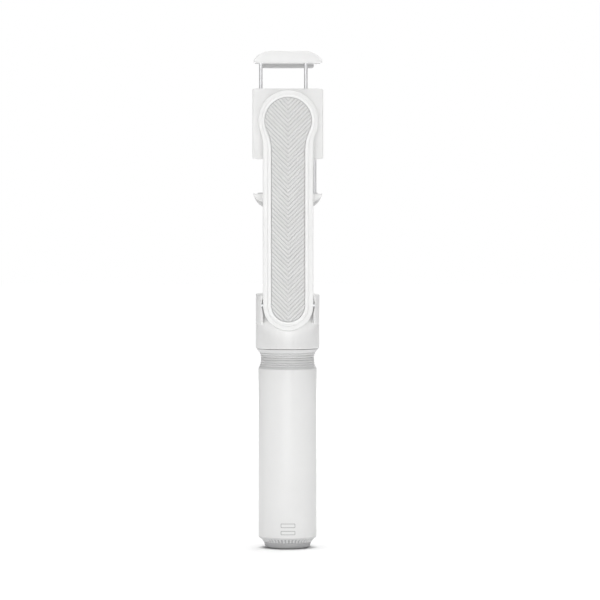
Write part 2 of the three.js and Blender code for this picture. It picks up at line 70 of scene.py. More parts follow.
SHELL_LOW, SHELL_HIGH = mm_box("handle_shell")
HANDLE_R = SHELL_HIGH.x
CAP_LOW, CAP_HIGH = mm_box("base_cap")
RING_LOW, RING_HIGH = mm_box("base_ring")
COLLAR_LOW, COLLAR_HIGH = mm_box("lower_collar")
UPPER_LOW, UPPER_HIGH = mm_box("upper_collar")
FORK_LOW, FORK_HIGH = mm_box("fork_cup")
ARM_LOW, ARM_HIGH = mm_box("arm_frame")
INSERT_LOW, INSERT_HIGH = mm_box("arm_insert")
PIN_LOW, PIN_HIGH = mm_box("hinge_pin")
HOLDER_LOW, HOLDER_HIGH = mm_box("holder_frame")
PAD_LOW, PAD_HIGH = mm_box("holder_pad")
PANEL_LOW, PANEL_HIGH = mm_box("control_panel")
CUP_R = FORK_HIGH.x
PIN = (PIN_LOW + PIN_HIGH) / 2
DISC_R = ARM_HIGH.x
ARM_TOP = ARM_HIGH.z - DISC_R
INSERT_DISC_R = INSERT_HIGH.x
ARM_HALF = PIN.z - ARM_LOW.z
INSERT_HALF = PIN.z - INSERT_LOW.z
ARM_THICK = 2 * (PIN.y - ARM_LOW.y)
BLEND_R = 22.0
SPLIT_Z = 107.0
SHAFT_R = 4.4
SEAM = 0.03


# ---------------- outlines

def arc(centre, radius, start, end, steps):
    """Points on an arc, both ends included."""
    angles = [start + (end - start) * i / steps for i in range(steps + 1)]
    return [(centre[0] + radius * math.cos(a), centre[1] + radius * math.sin(a)) for a in angles]


def rounded(corners, closed=True, steps=4):
    """A polyline whose corners (a, b, fillet) become arcs; without a fillet they stay sharp."""
    count = len(corners)
    out = []
    for i, corner in enumerate(corners):
        fillet = corner[2] if len(corner) > 2 else 0
        at_end = not closed and i in (0, count - 1)
        if fillet <= 0 or at_end:
            out.append((corner[0], corner[1]))
            continue
        here = Vector(corner[:2])
        back = Vector(corners[i - 1][:2]) - here
        ahead = Vector(corners[(i + 1) % count][:2]) - here
        half = back.angle(ahead) / 2
        reach = min(fillet / math.tan(half), 0.49 * back.length, 0.49 * ahead.length)
        radius = reach * math.tan(half)
        back.normalize()
        ahead.normalize()
        centre = here + (back + ahead).normalized() * radius / math.sin(half)
        first = here + back * reach - centre
        last = here + ahead * reach - centre
        sweep = first.angle_signed(last)
        base = math.atan2(first.y, first.x)
        out += arc(centre, radius, base, base - sweep, steps)
    return out


def rounded_rectangle(half_x, half_z, radius, centre=(0, 0), steps=6):
    x, z = centre
    corners = [
        (x - half_x, z - half_z, radius), (x + half_x, z - half_z, radius),
        (x + half_x, z + half_z, radius), (x - half_x, z + half_z, radius),
    ]
    return rounded(corners, steps=steps)


def inset(outline, distance):
    """The closed counter-clockwise outline moved inwards by a small distance."""
    moved = []
    count = len(outline)
    for i in range(count):
        here = Vector(outline[i])
        into = (here - Vector(outline[i - 1])).normalized()
        out = (Vector(outline[(i + 1) % count]) - here).normalized()
        n_in = Vector((-into.y, into.x))
        n_out = Vector((-out.y, out.x))
        miter = (n_in + n_out) / max(1 + n_in.dot(n_out), 0.4)
        moved.append(tuple(here + miter * distance))
    return moved


# ---------------- meshes as (points, faces)

def lathe(profile, segments=96, axis="Z", centre=(0, 0, 0), closed=True):
    """A (radius, height) profile turned about an axis. Points on the axis become poles."""
    points = []
    rows = []
    for radius, height in profile:
        count = 1 if radius < 1e-6 else segments
        rows.append(range(len(points), len(points) + count))
        for i in range(count):
            angle = TAU * i / segments
            u, v = radius * math.cos(angle), radius * math.sin(angle)
            local = {"X": (height, u, v), "Y": (u, height, v), "Z": (u, v, height)}[axis]
            points.append(tuple(a + b for a, b in zip(local, centre)))
    faces = []
    pairs = list(zip(rows, rows[1:]))
    if closed:
        pairs.append((rows[-1], rows[0]))
    for low, high in pairs:
        if len(low) == 1 and len(high) == 1:
            continue
        for i in range(segments):
            j = (i + 1) % segments
            quad = [low[i % len(low)], low[j % len(low)], high[j % len(high)], high[i % len(high)]]
            faces.append(tuple(dict.fromkeys(quad)))
    return points, faces


def turned(profile, segments=96, axis="Z", centre=(0, 0, 0)):
    """A solid of revolution from a profile that starts and ends on the axis."""
    return lathe(profile, segments, axis, centre, closed=False)


def loft(rings, closed=False):
    """Quads between equal rings of 3D points; the ends are capped unless the rings close."""
    count = len(rings[0])
    points = [tuple(p) for ring in rings for p in ring]
    faces = []
    last = len(rings) if closed else len(rings) - 1
    for r in range(last):
        low = r * count
        high = ((r + 1) % len(rings)) * count
        for i in range(count):
            j = (i + 1) % count
            faces.append((low + i, low + j, high + j, high + i))
    if not closed:
        faces.append(tuple(range(count)))
        faces.append(tuple(range((len(rings) - 1) * count, len(rings) * count)))
    return points, faces


def prism_xz(outline, y0, y1):
    return loft([[(x, y, z) for x, z in outline] for y in (y0, y1)])


def soft_prism_xz(outline, y0, y1, fillet, steps=4):
    """An outline in XZ given thickness along Y, with its front and back edges rounded."""
    rings = []
    for end, turn in ((y0, 1), (y1, -1)):
        edge = []
        for i in range(steps + 1):
            angle = math.pi / 2 * i / steps
            depth = fillet * (1 - math.sin(angle))
            edge.append((depth, end + turn * fillet * (1 - math.cos(angle))))
        rings += edge if turn > 0 else edge[::-1]
    return loft([[(x, y, z) for x, z in inset(outline, depth)] for depth, y in rings])


def box_shape(low, high):
    (x0, y0, z0), (x1, y1, z1) = low, high
    return prism_xz([(x0, z0), (x1, z0), (x1, z1), (x0, z1)], y0, y1)


def merged(*shapes):
    points, faces = [], []
    for more_points, more_faces in shapes:
        start = len(points)
        points += more_points
        faces += [tuple(start + i for i in face) for face in more_faces]
    return points, faces


# ---------------- objects

def make(name, shape):
    """A mesh object with outward faces from a shape in millimetres."""
    points, faces = shape
    mesh = bpy.data.meshes.new(name)
    mesh.from_pydata([tuple(c * MM for c in p) for p in points], [], faces)
    work = bmesh.new()
    work.from_mesh(mesh)
    bmesh.ops.remove_doubles(work, verts=work.verts, dist=1e-7)
    bmesh.ops.recalc_face_normals(work, faces=work.faces)
    work.to_mesh(mesh)
    work.free()
    obj = bpy.data.objects.new(name, mesh)
    bpy.context.scene.collection.objects.link(obj)
    return obj


def bake_modifiers(obj):
    bpy.context.view_layer.update()
    graph = bpy.context.evaluated_depsgraph_get()
    mesh = bpy.data.meshes.new_from_object(obj.evaluated_get(graph))
    obj.modifiers.clear()
    obj.data = mesh


def combine(obj, shapes, operation):
    """Cuts shapes out of an object, adds them, or keeps what they share."""
    tools = [make(f"{obj.name}_tool", shape) for shape in shapes]
    for tool in tools:
        step = obj.modifiers.new("combine", "BOOLEAN")
        step.operation = operation
        step.solver = "EXACT"
        step.object = tool
    bake_modifiers(obj)
    for tool in tools:
        bpy.data.objects.remove(tool)
    return obj


def cut(obj, *shapes):
    return combine(obj, shapes, "DIFFERENCE")


def add(obj, *shapes):
    return combine(obj, shapes, "UNION")


def keep(obj, *shapes):
    return combine(obj, shapes, "INTERSECT")


def melt(obj, voxel, rounds):
    """Turns a sharp solid into a moulded one whose edges are all a little rounded."""
    remesh = obj.modifiers.new("remesh", "REMESH")
    remesh.mode = "VOXEL"
    remesh.voxel_size = voxel * MM
    smooth = obj.modifiers.new("smooth", "SMOOTH")
    smooth.factor = 0.5
    smooth.iterations = rounds
    thin = obj.modifiers.new("thin", "DECIMATE")
    thin.ratio = 0.25
    bake_modifiers(obj)
    return obj


def show(obj, material, body, replaces=(), sharp=32):
    """Finishes a piece: shading, material, the body it rides on and the CAD node it stands for."""
    obj.data.shade_smooth()
    obj.data.set_sharp_from_angle(angle=math.radians(sharp))
    obj.data.materials.clear()
    obj.data.materials.append(material)
    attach(obj, body)
    if replaces:
        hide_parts(*replaces)
    return obj


# ---------------- materials

class Shader:
    """A material's node tree, with the principled shader in it."""

    def __init__(self, name):
        self.material = bpy.data.materials.new(name)
        self.material.use_nodes = True
        self.tree = self.material.node_tree
        self.bsdf = self.tree.nodes["Principled BSDF"]
        self.place = self.tree.nodes.new("ShaderNodeTexCoord").outputs["Object"]

    def node(self, kind, **settings):
        made = self.tree.nodes.new(kind)
        for key, value in settings.items():
            setattr(made, key, value)
        return made

    def link(self, source, target):
        self.tree.links.new(source, target)

    def stretched(self, scale):
        """The object's coordinates, squeezed by a factor on each axis."""
        mapping = self.node("ShaderNodeMapping")
        self.link(self.place, mapping.inputs["Vector"])
        mapping.inputs["Scale"].default_value = scale
        return mapping.outputs["Vector"]

    def noise(self, grain, detail=2.0, rough=0.5, place=None):
        """Cloudy noise whose blobs are about `grain` millimetres across."""
        made = self.node("ShaderNodeTexNoise")
        self.link(place or self.place, made.inputs["Vector"])
        made.inputs["Scale"].default_value = 1 / (grain * MM)
        made.inputs["Detail"].default_value = detail
        made.inputs["Roughness"].default_value = rough
        return made.outputs["Fac"]

    def ranged(self, value, low, high, source=(0.0, 1.0)):
        made = self.node("ShaderNodeMapRange")
        self.link(value, made.inputs["Value"])
        made.inputs["From Min"].default_value = source[0]
        made.inputs["From Max"].default_value = source[1]
        made.inputs["To Min"].default_value = low
        made.inputs["To Max"].default_value = high
        return made.outputs["Result"]

    def blend(self, value, low, high):
        """A colour between two, chosen by a value from 0 to 1."""
        made = self.node("ShaderNodeMix", data_type="RGBA")
        self.link(value, made.inputs[0])
        made.inputs[6].default_value = (*low, 1)
        made.inputs[7].default_value = (*high, 1)
        return made.outputs[2]

    def bump(self, height, depth, strength=1.0, under=None):
        """Relief of `depth` millimetres, on top of another relief if one is given."""
        made = self.node("ShaderNodeBump")
        made.inputs["Strength"].default_value = strength
        made.inputs["Distance"].default_value = depth * MM
        self.link(height, made.inputs["Height"])
        if under:
            self.link(under, made.inputs["Normal"])
        return made.outputs["Normal"]

    def axis(self, index):
        """One of the object's own coordinates, in metres."""
        made = self.node("ShaderNodeSeparateXYZ")
        self.link(self.place, made.inputs["Vector"])
        return made.outputs[index]

    def paint(self, **sockets):
        names = {"color": "Base Color", "roughness": "Roughness", "normal": "Normal"}
        for key, output in sockets.items():
            self.link(output, self.bsdf.inputs[names[key]])

    def fixed(self, **values):
        for key, value in values.items():
            self.bsdf.inputs[key.replace("_", " ")].default_value = value


def shade(color, factor):
    return tuple(min(c * factor, 1.0) for c in color)


def moulded(name, color, roughness, grain=0.28, relief=0.006, mottle=0.02, coat=0.0):
    """Injection-moulded plastic: spark-eroded grain, faint flow clouds and uneven sheen."""
    shader = Shader(name)
    fine = shader.noise(grain, 3.0, 0.6)
    clouds = shader.noise(14.0, 4.0, 0.55)
    scuffs = shader.noise(2.4, 5.0, 0.7)
    shader.paint(
        color=shader.blend(clouds, shade(color, 1 - mottle), shade(color, 1 + mottle)),
        roughness=shader.ranged(scuffs, roughness - 0.05, roughness + 0.06, (0.3, 0.7)),
        normal=shader.bump(fine, relief),
    )
    shader.fixed(Coat_Weight=coat, Coat_Roughness=0.3, IOR=1.47)
    return shader.material


def chevron_plastic(name, color, ridge_y, groove_y):
    """Matt plastic of the arm's panel, with painted shade that makes it a little darker down in its
    grooves.
    """
    shader = Shader(name)
    depth = shader.ranged(shader.axis("Y"), 1.0, 0.0, (ridge_y * MM, groove_y * MM))
    clouds = shader.noise(9.0, 4.0, 0.6)
    worn = shader.blend(clouds, shade(color, 0.97), shade(color, 1.03))
    # painted shade: the colour drops to 0.86 of the grey where the face lies back in a groove
    mix = shader.node("ShaderNodeMix", data_type="RGBA")
    shader.link(depth, mix.inputs[0])
    mix.inputs[6].default_value = (*shade(color, 0.86), 1)
    shader.link(worn, mix.inputs[7])
    shader.paint(
        color=mix.outputs[2],
        roughness=shader.ranged(depth, 0.68, 0.52),
        normal=shader.bump(shader.noise(0.2, 3.0, 0.6), 0.006),
    )
    return shader.material


def rubber(name, color):
    """Soft rubber with a pebbled skin that has a faint dusty sheen."""
    shader = Shader(name)
    cells = shader.node("ShaderNodeTexVoronoi")
    shader.link(shader.place, cells.inputs["Vector"])
    cells.inputs["Scale"].default_value = 1 / (0.45 * MM)
    dust = shader.noise(5.0, 4.0, 0.65)
    shader.paint(
        color=shader.blend(dust, shade(color, 0.86), shade(color, 1.25)),
        roughness=shader.ranged(dust, 0.72, 0.9, (0.3, 0.7)),
        normal=shader.bump(cells.outputs["Distance"], 0.03, 0.6),
    )
    shader.fixed(Sheen_Weight=0.12, Sheen_Roughness=0.5)
    return shader.material


def drawn_metal(name, color, roughness, along="Z", tint=0.06, metallic=1.0):
    """Metal drawn or ground along one axis: long fine scratches and a soft streaky gloss."""
    shader = Shader(name)
    scale = {"X": (0.02, 1, 1), "Y": (1, 0.02, 1), "Z": (1, 1, 0.02)}[along]
    place = shader.stretched(scale)
    streaks = shader.noise(0.12, 3.0, 0.6, place)
    bands = shader.noise(0.8, 2.0, 0.5, place)
    shader.paint(
        color=shader.blend(bands, shade(color, 1 - tint), shade(color, 1 + tint)),
        roughness=shader.ranged(streaks, roughness - 0.06, roughness + 0.1, (0.3, 0.7)),
        normal=shader.bump(streaks, 0.002),
    )
    shader.fixed(Metallic=metallic)
    return shader.material


def turned_metal(name, color, roughness):
    """Lathe-turned metal with rings across the axis."""
    shader = Shader(name)
    place = shader.stretched((0.02, 0.02, 1))
    rings = shader.noise(0.15, 3.0, 0.6, place)
    shader.paint(
        color=shader.blend(rings, shade(color, 0.9), shade(color, 1.08)),
        roughness=shader.ranged(rings, roughness - 0.05, roughness + 0.1, (0.3, 0.7)),
        normal=shader.bump(rings, 0.004),
    )
    shader.fixed(Metallic=1.0)
    return shader.material


def solder_mask(name, color):
    """A circuit board's lacquer over a faint pattern of tracks."""
    shader = Shader(name)
    tracks = shader.node("ShaderNodeTexBrick")
    shader.link(shader.place, tracks.inputs["Vector"])
    tracks.inputs["Scale"].default_value = 1 / (1.6 * MM)
    tracks.inputs["Mortar Size"].default_value = 0.06
    tracks.inputs["Color1"].default_value = (*color, 1)
    tracks.inputs["Color2"].default_value = (*shade(color, 0.85), 1)
    tracks.inputs["Mortar"].default_value = (*shade(color, 1.6), 1)
    shader.paint(
        color=tracks.outputs["Color"],
        roughness=shader.ranged(shader.noise(1.5), 0.28, 0.42),
        normal=shader.bump(tracks.outputs["Fac"], 0.03, 0.5),
    )
    return shader.material


def winding(name, color):
    """Enamelled copper wire laid in close turns."""
    shader = Shader(name)
    turns = shader.node("ShaderNodeTexWave", bands_direction="DIAGONAL")
    shader.link(shader.place, turns.inputs["Vector"])
    turns.inputs["Scale"].default_value = 1 / (1.2 * MM)
    turns.inputs["Distortion"].default_value = 1.5
    shader.paint(
        color=shader.blend(turns.outputs["Fac"], shade(color, 0.6), shade(color, 1.3)),
        roughness=shader.ranged(shader.noise(0.6), 0.3, 0.45),
        normal=shader.bump(turns.outputs["Fac"], 0.08),
    )
    shader.fixed(Metallic=0.7)
    return shader.material


def lens_plastic(name, color):
    """Milky light window."""
    shader = Shader(name)
    shader.paint(
        color=shader.blend(shader.noise(0.7), shade(color, 0.95), shade(color, 1.05)),
        roughness=shader.ranged(shader.noise(1.0), 0.15, 0.25),
    )
    shader.fixed(Transmission_Weight=0.25, Coat_Weight=0.4)
    return shader.material


CHEVRON_TOP = INSERT_LOW.y + 0.12
CHEVRON_DEPTH = 0.3

WHITE = moulded("white_plastic", (0.83, 0.83, 0.825), 0.4)
WHITE_SMOOTH = moulded("white_plastic_smooth", (0.85, 0.85, 0.845), 0.34, 0.5, 0.003)
GREY = moulded("grey_plastic", (0.66, 0.66, 0.66), 0.5)
PANEL_GREY = moulded("panel_grey", (0.42, 0.42, 0.425), 0.55)
# painted shade: a darker grey for the jaws' deeper bodies, so they look shaded behind the white
# front layer
JAW_BODY_SHADE = moulded("jaw_body_painted_shade", (0.6, 0.6, 0.6), 0.48)
RING_GREY = moulded("ring_grey", (0.72, 0.72, 0.72), 0.48)
DARK = moulded("dark_plastic", (0.27, 0.27, 0.275), 0.5)
CAP_GREY = moulded("cap_grey", (0.5, 0.5, 0.505), 0.5)
BLACK = moulded("black_plastic", (0.035, 0.035, 0.037), 0.55)
RED = moulded("record_red", (0.55, 0.07, 0.05), 0.42)
MARK = moulded("mark_grey", (0.42, 0.42, 0.42), 0.5, mottle=0.05)
CHEVRON = chevron_plastic("chevron_grey", (0.7, 0.7, 0.695), CHEVRON_TOP,
                          CHEVRON_TOP + CHEVRON_DEPTH)
PAD_RUBBER = rubber("pad_rubber", (0.15, 0.15, 0.155))
STICK_RUBBER = rubber("joystick_rubber", (0.10, 0.10, 0.105))
ROD_STEEL = drawn_metal("rod_steel", (0.78, 0.78, 0.79), 0.45)
TUBE_METAL = drawn_metal("tube_aluminium", (0.72, 0.73, 0.74), 0.32)
STEEL = turned_metal("turned_steel", (0.60, 0.61, 0.62), 0.3)
BRASS = turned_metal("turned_brass", (0.63, 0.47, 0.22), 0.33)
BOARD = solder_mask("solder_mask", (0.02, 0.13, 0.07))
FOIL = drawn_metal("cell_foil", (0.52, 0.55, 0.58), 0.4, "Z", 0.04, 0.6)
COPPER = winding("winding_copper", (0.50, 0.24, 0.12))
LENS = lens_plastic("light_window", (0.9, 0.92, 0.88))

CAD_LOOKS = {
    "white_shell": WHITE,
    "grey_trim": GREY,
    "patterned_insert": CHEVRON,
    "dark_trim": DARK,
    "rubber_pad": PAD_RUBBER,
    "steel": STEEL,
    "aluminium": TUBE_METAL,
    "brass": BRASS,
    "winding": COPPER,
    "board": BOARD,
    "cell": FOIL,
    "record_key": RED,
    "lens": LENS,
}


def dress_cad_nodes():
    """Every CAD node gets the material of its slot; the seen ones are replaced below."""
    slots = {part["node"]: part["material_slot"] for part in frame["record"]["subparts"]}
    for name, obj in frame["nodes"].items():
        obj.data.materials.clear()
        obj.data.materials.append(CAD_LOOKS[slots[name]])


# ---------------- handle

def handle_shell():
    bore = HANDLE_R - 1.6
    low, top = SHELL_LOW.z, SHELL_HIGH.z
    profile = rounded([
        (bore, low, 0.2), (HANDLE_R, low, 0.2), (HANDLE_R, top, 0.2), (bore, top, 0.2),
    ])
    shell = make("shell_skin", lathe(profile, 160))
    half = PANEL_HIGH.x + 0.3
    tall = (PANEL_HIGH.z - PANEL_LOW.z) / 2 + 0.3
    inside, outside = 5, 20
    window_outline = rounded_rectangle(half, tall, 3.2, (0, node_middle("control_panel").z))
    window = prism_xz(window_outline, inside, HANDLE_R + 2)
    key_hole = turned([(0, inside), (3.0, inside), (3.0, outside), (0, outside)], 48, "Y",
                      (0, 0, node_middle("power_button").z))
    port_outline = rounded_rectangle(4.75, 1.95, 1.9, (0, node_middle("charging_port").z))
    port_hole = prism_xz(port_outline, inside, outside)
    cut(shell, window, key_hole, port_hole)
    return show(shell, WHITE, "handle", ["handle_shell"])


def curved_frame(name, centre_z, half_z):
    """A thin rectangular outline that lies on the front of the handle."""
    half_x, line, proud = 4.1, 0.32, 0.03
    outer = rounded_rectangle(half_x, half_z, 0.35, (0, centre_z), 3)
    outer = densified(outer + outer[:1], 0.5)[:-1]
    inner = inset(outer, line)
    sunk = -0.05
    rings = []
    for outline, rise in ((inner, sunk), (inner, proud), (outer, proud), (outer, sunk)):
        rings.append([(x, -math.sqrt((HANDLE_R + rise) ** 2 - x * x), z) for x, z in outline])
    mark = make(name, loft(rings, closed=True))
    return show(mark, MARK, "handle")


def base_cap():
    """The dark foot, with the tripod socket's mouth in its middle."""
    low, bore = CAP_LOW.z, 4.8
    profile = rounded([
        (bore, low, 0.3), (11.3, low, 1.6), (12.7, low + 0.8, 1.0),
        (13.2, low + 2.4, 1.0), (13.3, low + 3.3, 0.2), (13.1, RING_LOW.z),
        (13.75, RING_LOW.z + 0.85), (14.8, RING_LOW.z + 1.75), (9.2, RING_LOW.z + 1.75),
        (9.2, CAP_HIGH.z), (bore, CAP_HIGH.z, 0.2),
    ])
    cap = make("cap_skin", lathe(profile, 128))
    return show(cap, CAP_GREY, "handle", ["base_cap"])


TEETH = 45
TOOTH_DEPTH = 1.1


def tooth_notch(turn):
    """How deep the ring is cut at a fraction of a turn: 0 on a tooth's tip, 1 in a gap."""
    phase = (turn * TEETH) % 1.0
    return min(1.0, max(0.0, (abs(phase - 0.5) - 0.2) / 0.1))


def base_ring():
    """The conical ring at the foot: a plain rim over a row of fine teeth."""
    low, rim = RING_LOW.z, RING_HIGH.x
    top = SHELL_LOW.z - SEAM
    cone = rounded(
        [
            (13.75, low - 0.25, 0.1), (14.35, low + 0.85, 0.8), (15.5, low + 1.75, 0.8),
            (rim, low + 2.35, 0.2), (rim, top, 0.1), (14.5, top),
        ],
        closed=False,
        steps=3,
    )
    inner = [(14.5, RING_HIGH.z), (9.5, RING_HIGH.z), (9.5, low - 0.25)]
    profile = densified(cone, 0.22) + inner
    points, faces = lathe(profile, TEETH * 10)
    shaped = []
    for x, y, z in points:
        radius = math.hypot(x, y)
        window = smooth_step(low - 0.3, low - 0.15, z) * smooth_step(low + 2.2, low + 1.7, z)
        depth = TOOTH_DEPTH * window * tooth_notch(math.atan2(y, x) / TAU + 1)
        scale = 1 - depth / radius if radius > 13 else 1
        shaped.append((x * scale, y * scale, z))
    ring = make("toothed_ring", (shaped, faces))
    return show(ring, RING_GREY, "handle", ["base_ring"], 40)


def smooth_step(start, end, value):
    t = min(1.0, max(0.0, (value - start) / (end - start)))
    return t * t * (3 - 2 * t)


def densified(line, step):
    """The polyline with points added so that no stretch is longer than step."""
    out = [line[0]]
    for a, b in zip(line, line[1:]):
        pieces = max(1, math.ceil(math.dist(a, b) / step))
        for i in range(1, pieces + 1):
            out.append(tuple(p + (q - p) * i / pieces for p, q in zip(a, b)))
    return out


# ---------------- ribbed neck

WAIST_R = 15.1


GROOVE_WIDTH = 0.27


def neck_radius(z, rim_z, rim_r, power):
    """The neck widens from its waist, where it parts, to a rim."""
    return WAIST_R + (rim_r - WAIST_R) * (abs(z - SPLIT_Z) / abs(rim_z - SPLIT_Z)) ** power


def groove_depth(z, grooves, depth):
    return sum(depth * math.exp(-(((z - groove) / GROOVE_WIDTH) ** 2)) for groove in grooves)


def neck_wall(low, high, rim_z, rim_r, power, grooves, depth):
    """The hollow side of the neck between two heights, with its ring grooves."""
    count = 60
    wall = []
    for i in range(count + 1):
        z = low + (high - low) * i / count
        wall.append((neck_radius(z, rim_z, rim_r, power) - groove_depth(z, grooves, depth), z))
    return wall


def lower_collar():
    rim_z = 102.2
    foot, low, high = COLLAR_LOW.z, SHELL_HIGH.z + SEAM, COLLAR_HIGH.z
    bore, plug = 9.0, 14.5
    profile = [(bore, foot), (plug, foot), (plug, low)]
    profile += neck_wall(low, high, rim_z, COLLAR_HIGH.x, 1.7, (103.45, 104.6, 105.75), 0.3)
    profile += [(14.9, high + 0.05), (bore + 0.2, high + 0.05), (bore, high - 0.2)]
    collar = make("ribbed_collar_low", lathe(profile, 128))
    return show(collar, GREY, "handle", ["lower_collar"], 50)


def upper_collar():
    low, rim_z = UPPER_LOW.z, UPPER_HIGH.z
    bore, bore_top = 4.4, 110.8
    profile = [(0, bore_top), (bore, bore_top), (bore, low + 0.2), (bore + 0.2, low - 0.05)]
    profile.append((14.9, low - 0.05))
    profile += neck_wall(low, rim_z - 0.25, rim_z, UPPER_HIGH.x, 2.4, (108.5, 109.75, 111.0), 0.45)
    profile += [(17.35, rim_z), (0, rim_z)]
    collar = make("ribbed_collar_high", turned(profile, 128))
    return show(collar, GREY, "stage_4", ["upper_collar"], 50)


# ---------------- stick

def stick_tube(node, body, next_outer):
    """A thin tube whose mouth is rolled in to guide the next one."""
    low, high = mm_box(node)
    outer = high.x
    wall, lip = 0.5, 0.55
    mouth = next_outer + 0.22
    profile = [
        (outer - wall, low.z),
        (outer, low.z),
        *arc((outer - lip, high.z - lip), lip, 0, math.pi / 2, 5),
        (mouth, high.z),
        (mouth, high.z - 1.2),
        (outer - wall, high.z - 1.6),
    ]
    tube = make(f"{node}_skin", lathe(profile, 96))
    return show(tube, TUBE_METAL, body, [node], 40)


def stick():
    nodes = ["fixed_tube"] + [f"stick_tube_{k}" for k in range(1, 5)]
    bodies = ["handle"] + [f"stage_{k}" for k in range(1, 5)]
    outers = [mm_box(node)[1].x for node in nodes]
    outers.append(outers[-1] - (outers[0] - outers[1]))
    for node, body, next_outer in zip(nodes, bodies, outers[1:]):
        stick_tube(node, body, next_outer)


# ---------------- fork

CHEEK_FRONT = FORK_LOW.y + 1.1
CHEEK_DROP = 10.5


def cheek_outline():
    """One cheek of the fork in the YZ plane, as (y, z)."""
    front, low, top = CHEEK_FRONT, PIN.z - CHEEK_DROP, FORK_HIGH.z - 0.4
    toe, brow = 1.2, 0.8
    outline = [(0, low)]
    outline += arc((front + toe, low + toe), toe, 1.5 * math.pi, math.pi, 5)
    outline += arc((front + brow, top - brow), brow, math.pi, math.pi / 2, 4)
    outline += [(0, top)]
    return outline


def fork():
    """A cup that pans on the neck, with a cheek each side of the arm's foot."""
    low, top = FORK_LOW.z, FORK_HIGH.z
    inner = ARM_HALF + 0.08
    hollow_r, hollow_top = 15.2, 122.6
    drum = make("fork_skin", turned(rounded([
        (0, hollow_top), (hollow_r, hollow_top), (hollow_r, low), (CUP_R, low, 0.3),
        (CUP_R, top, 0.5), (0, top),
    ], closed=False), 160))
    outline = cheek_outline()
    cheeks = [
        loft([[(x, y, z) for y, z in outline] for x in (side * inner, side * CUP_R)])
        for side in (-1, 1)
    ]
    corner_back, corner_reach, steps = 11.0, CUP_R - 0.5 - inner, 14
    corner = []
    for i in range(steps + 1):
        a = math.pi / 2 * i / steps
        corner.append((inner + corner_reach * math.sin(a),
                       CHEEK_FRONT + corner_back * (1 - math.cos(a))))
    plan = [(-x, y) for x, y in reversed(corner)] + corner
    plan += [(CUP_R, -4), (CUP_R, 4), (-CUP_R, 4), (-CUP_R, -4)]
    hull = loft([[(x, y, z) for x, y in plan] for z in (low + 0.5, top + 1)])
    for cheek in cheeks:
        part = keep(make("cheek", cheek), hull)
        points = [tuple(v.co / MM) for v in part.data.vertices]
        faces = [tuple(f.vertices) for f in part.data.polygons]
        bpy.data.objects.remove(part)
        add(drum, (points, faces))
    room = ARM_HALF + 0.75
    ball_profile = [(0.0, -room)]
    ball_profile += [(room * math.sin(math.pi * i / 48), -room * math.cos(math.pi * i / 48))
                     for i in range(1, 48)]
    ball_profile.append((0.0, room))
    ball = turned(ball_profile, 96, "Y", tuple(PIN))
    tilt_room = box_shape((-inner, FORK_LOW.y - 4, PIN.z), (inner, -15.4, top + 1))
    cut(drum, ball, tilt_room)
    melt(drum, 0.22, 3)
    return show(drum, WHITE, "fork", ["fork_cup"], 60)


# ---------------- arm

def arm_outline(depth, half=ARM_HALF, disc=DISC_R):
    """The arm's outline moved inwards by depth, as (x, z): a round lower end, hollow curves
    and a disc. The rim is a little narrower round the disc. Every depth gives as many points."""
    disc -= depth * (DISC_R - INSERT_DISC_R) / (ARM_HALF - INSERT_HALF)
    half, blend = half - depth, BLEND_R + depth
    reach = half + blend
    drop = math.sqrt((disc + blend) ** 2 - reach**2)
    turn = math.atan2(drop, reach)
    low = ARM_TOP - drop
    line = arc((0, PIN.z), half, math.pi, TAU, 40)
    line += arc((reach, low), blend, math.pi, math.pi - turn, 14)
    line += arc((0, ARM_TOP), disc, -turn, math.pi + turn, 64)[1:-1]
    line += arc((-reach, low), blend, turn, 0, 14)
    return line


def arm_rim():
    """The white frame round the panel: a sloped outer band, a fine groove and a flat inner band."""
    front, back = ARM_LOW.y, ARM_LOW.y + ARM_THICK
    edge = ARM_HALF - INSERT_HALF
    section = [
        (2.2, back), (1.0, back), (0.5, back - 0.12), (0.15, back - 0.45),
        (0.0, back - 0.9), (0.0, back - 1.62), (0.14, back - 1.75), (0.0, back - 1.88),
        (0.0, front + 0.95), (0.08, front + 0.68), (0.3, front + 0.5),
        (0.7, front + 0.42), (2.2, front + 0.26), (2.36, front + 0.26),
        (2.42, front + 0.5), (2.58, front + 0.5), (2.64, front + 0.12), (2.9, front),
        (edge - 0.55, front), (edge - 0.3, front + 0.06), (edge - 0.12, front + 0.25),
        (edge - 0.12, front + 3.4),
    ]
    rings = [[(x, y, z) for x, z in arm_outline(depth)] for depth, y in section]
    rim = make("arm_rim", loft(rings))
    pin_r, reach = 2.1, 20
    pin_bore = turned([(0, -reach), (pin_r, -reach), (pin_r, reach), (0, reach)], 32, "X",
                      (0, PIN.y, PIN.z))
    shaft_bore = turned([(0, front), (SHAFT_R, front), (SHAFT_R, back + 3), (0, back + 3)], 48, "Y",
                        (0, 0, ARM_TOP))
    cut(rim, pin_bore, shaft_bore)
    return show(rim, WHITE_SMOOTH, "arm", ["arm_frame"], 28)


def motor_housing():
    """The roll motor's drum behind the arm's disc."""
    front = ARM_LOW.y + ARM_THICK + 0.02
    back = ARM_HIGH.y
    bore, outer, inner = 4.6, DISC_R - 0.35, 14.6
    profile = rounded([
        (bore, front - 0.6), (outer, front - 0.6), (outer, back - 1.5),
        (DISC_R - 0.5, back - 1.35), (outer, back - 1.2), (outer, back, 0.5),
        (inner, back, 0.2), (inner, front + 0.6), (bore, front + 0.6),
    ])
    housing = make("roll_housing", lathe(profile, 128, "Y", (0, 0, ARM_TOP)))
    return show(housing, WHITE, "arm", ["arm_frame"])


CHEVRON_PITCH = 2.46
CHEVRON_STEPS = 14
CHEVRON_GROOVE = 0.15


def chevron_depth(phase):
    """How far the panel's face lies back: a narrow groove between broad ribs."""
    t = phase % 1.0
    return CHEVRON_DEPTH * math.exp(-(((t - 0.5) / CHEVRON_GROOVE) ** 2))


